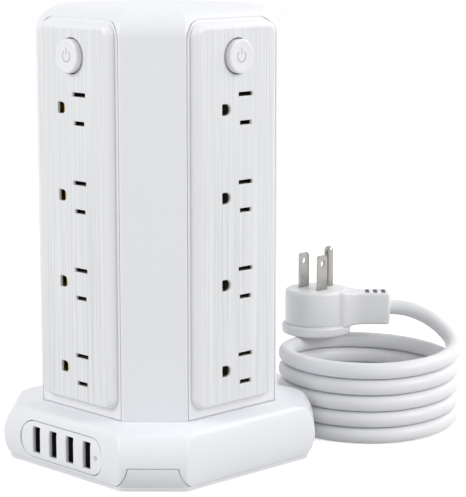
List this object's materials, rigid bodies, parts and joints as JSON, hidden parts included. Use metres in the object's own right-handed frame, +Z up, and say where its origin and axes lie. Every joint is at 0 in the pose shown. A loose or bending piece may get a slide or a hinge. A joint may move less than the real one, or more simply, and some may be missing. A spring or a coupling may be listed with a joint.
{
  "type": "tower power strip",
  "caption": "White tower power strip: outlets and a push switch on every face, charging ports in its base, and a coiled mains lead with a right-angle plug.",
  "frame": {"origin": "on the table plane under the tower's axis, at the middle of the base", "axes": "+Z up along the tower; the face with the charging ports looks along -Y and the other face in view along +X"},
  "size_m": [0.1679, 0.2162, 0.21],
  "materials": {
    "shell_white": "satin moulded white",
    "panel_brushed": "white with a fine upright brushed grain on the raised pad",
    "cover_white": "fine moulded texture",
    "frame_white": "gloss white",
    "button_white": "satin white with a fine grey power sign",
    "carrier_plastic": "flame-resistant moulding",
    "contact_brass": "stamped brass",
    "switch_black": "moulded black",
    "foot_rubber": "soft rubber",
    "screw_steel": "zinc plated",
    "port_steel": "nickel-plated sheet",
    "tongue_black": "black with contact strips",
    "pipe_clear": "frosted clear",
    "board_green": "solder-masked glass laminate",
    "disc_blue": "epoxy-dipped disc",
    "relief_white": "soft moulded",
    "cord_white": "soft satin jacket",
    "plug_white": "satin moulded",
    "pin_nickel": "nickel-plated brass"
  },
  "bodies": {
    "tower": {"tower_shell": "shell_white", "panel_front": "panel_brushed", "panel_right": "panel_brushed", "panel_back": "panel_brushed", "panel_left": "panel_brushed", "carrier_front": "carrier_plastic", "carrier_right": "carrier_plastic", "carrier_back": "carrier_plastic", "carrier_left": "carrier_plastic", "neutral_bar_front": "contact_brass", "neutral_bar_right": "contact_brass", "neutral_bar_back": "contact_brass", "neutral_bar_left": "contact_brass", "live_bar_front": "contact_brass", "live_bar_right": "contact_brass", "live_bar_back": "contact_brass", "live_bar_left": "contact_brass", "ground_bar_front": "contact_brass", "ground_bar_right": "contact_brass", "ground_bar_back": "contact_brass", "ground_bar_left": "contact_brass", "switch_front": "switch_black", "switch_right": "switch_black", "switch_back": "switch_black", "switch_left": "switch_black", "base_shell": "shell_white", "bottom_cover": "cover_white", "foot_1": "foot_rubber", "foot_2": "foot_rubber", "foot_3": "foot_rubber", "foot_4": "foot_rubber", "cover_screw_1": "screw_steel", "cover_screw_2": "screw_steel", "cover_screw_3": "screw_steel", "cover_screw_4": "screw_steel", "port_frame": "frame_white", "port_shell_1": "port_steel", "port_shell_2": "port_steel", "port_shell_3": "port_steel", "port_shell_4": "port_steel", "port_tongues": "tongue_black", "light_pipe": "pipe_clear", "port_board": "board_green", "surge_board": "board_green", "surge_discs": "disc_blue", "strain_relief": "relief_white", "cord_clamp": "carrier_plastic", "cord_lead": "cord_white", "cord_coil": "cord_white", "cord_tail": "cord_white", "plug_body": "plug_white", "plug_live_blade": "pin_nickel", "plug_neutral_blade": "pin_nickel", "plug_ground_pin": "pin_nickel"},
    "button_front_body": {"button_front": "button_white"},
    "button_right_body": {"button_right": "button_white"},
    "button_back_body": {"button_back": "button_white"},
    "button_left_body": {"button_left": "button_white"}
  },
  "joints": [
    {"name": "button_front_press", "type": "slide", "parent": "tower", "child": "button_front_body", "axis": [0, 1, 0], "range_m": [0, 0.0015], "stiffness_N_per_m": 400},
    {"name": "button_right_press", "type": "slide", "parent": "tower", "child": "button_right_body", "axis": [-1, 0, 0], "range_m": [0, 0.0015], "stiffness_N_per_m": 400},
    {"name": "button_back_press", "type": "slide", "parent": "tower", "child": "button_back_body", "axis": [0, -1, 0], "range_m": [0, 0.0015], "stiffness_N_per_m": 400},
    {"name": "button_left_press", "type": "slide", "parent": "tower", "child": "button_left_body", "axis": [1, 0, 0], "range_m": [0, 0.0015], "stiffness_N_per_m": 400}
  ]
}
